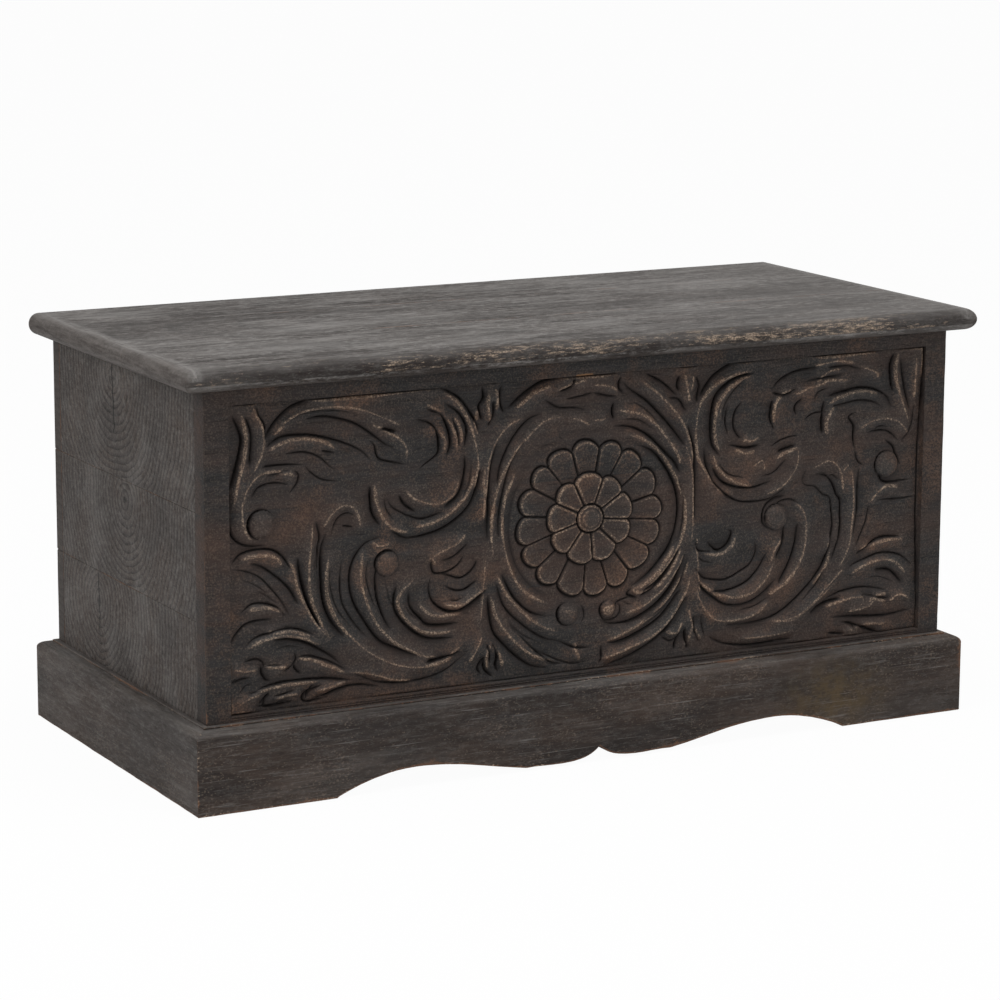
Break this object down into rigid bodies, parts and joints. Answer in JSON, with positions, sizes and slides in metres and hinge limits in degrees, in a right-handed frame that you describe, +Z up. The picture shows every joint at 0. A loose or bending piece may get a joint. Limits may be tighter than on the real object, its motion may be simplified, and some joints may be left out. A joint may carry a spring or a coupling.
{
  "type": "carved chest",
  "caption": "Low boarded wooden storage chest with a relief-carved front, a moulded plinth with a scalloped apron and a hinged lid held open by a slotted stay.",
  "frame": {"origin": "middle of the chest in plan, on the floor plane that the plinth stands on", "axes": "+X to the right along the carved front, +Y to the back, +Z up"},
  "size_m": [0.902, 0.426, 0.4343],
  "materials": {
    "carved_wood": "dark brown stain over carved hardwood, worn orange-brown on the crests",
    "case_wood": "dark brown stain, satin, dusty",
    "plinth_wood": "dark brown stain, satin, worn edges",
    "lid_wood": "dark brown stain gone grey, dull, scratched",
    "inner_wood": "bare hardwood, sawn and planed",
    "hinge_brass": "aged brass",
    "stay_steel": "dull plated steel",
    "screw_steel": "dull steel"
  },
  "bodies": {
    "case": {"carved_front": "carved_wood", "left_side_lower": "case_wood", "left_side_middle": "case_wood", "left_side_upper": "case_wood", "right_side_lower": "case_wood", "right_side_middle": "case_wood", "right_side_upper": "case_wood", "back_lower": "case_wood", "back_middle": "case_wood", "back_upper": "case_wood", "front_dowels": "inner_wood", "back_dowels": "inner_wood", "floor_board_front": "inner_wood", "floor_board_middle": "inner_wood", "floor_board_back": "inner_wood", "floor_cleat_front": "inner_wood", "floor_cleat_back": "inner_wood", "floor_cleat_left": "inner_wood", "floor_cleat_right": "inner_wood", "cleat_screws": "screw_steel", "plinth_front": "plinth_wood", "plinth_back": "plinth_wood", "plinth_left": "plinth_wood", "plinth_right": "plinth_wood", "corner_block_front_left": "inner_wood", "corner_block_front_right": "inner_wood", "corner_block_back_left": "inner_wood", "corner_block_back_right": "inner_wood", "hinge_case_leaf_left": "hinge_brass", "hinge_case_leaf_right": "hinge_brass", "hinge_pin_left": "hinge_brass", "hinge_pin_right": "hinge_brass", "hinge_case_screws": "screw_steel", "stay_stud": "stay_steel"},
    "lid": {"lid_board_front": "lid_wood", "lid_board_middle": "lid_wood", "lid_board_back": "lid_wood", "lid_batten_left": "inner_wood", "lid_batten_right": "inner_wood", "batten_screws": "screw_steel", "hinge_lid_leaf_left": "hinge_brass", "hinge_lid_leaf_right": "hinge_brass", "hinge_lid_screws": "screw_steel", "stay_bracket": "stay_steel", "stay_rivet": "stay_steel", "stay_screws": "screw_steel"},
    "stay": {"stay_bar": "stay_steel"}
  },
  "joints": [
    {"name": "lid_hinge", "type": "hinge", "parent": "case", "child": "lid", "pos_m": [0, 0.1995, 0.41115], "axis": [-1, 0, 0], "range_deg": [0, 95]},
    {"name": "stay_pivot", "type": "hinge", "parent": "lid", "child": "stay", "pos_m": [-0.4, 0.09053, 0.39615], "axis": [-1, 0, 0], "range_deg": [-47.5, 0]}
  ],
  "couplings": [
    {"joint": "stay_pivot", "follows": "lid_hinge", "ratio": -0.5}
  ]
}
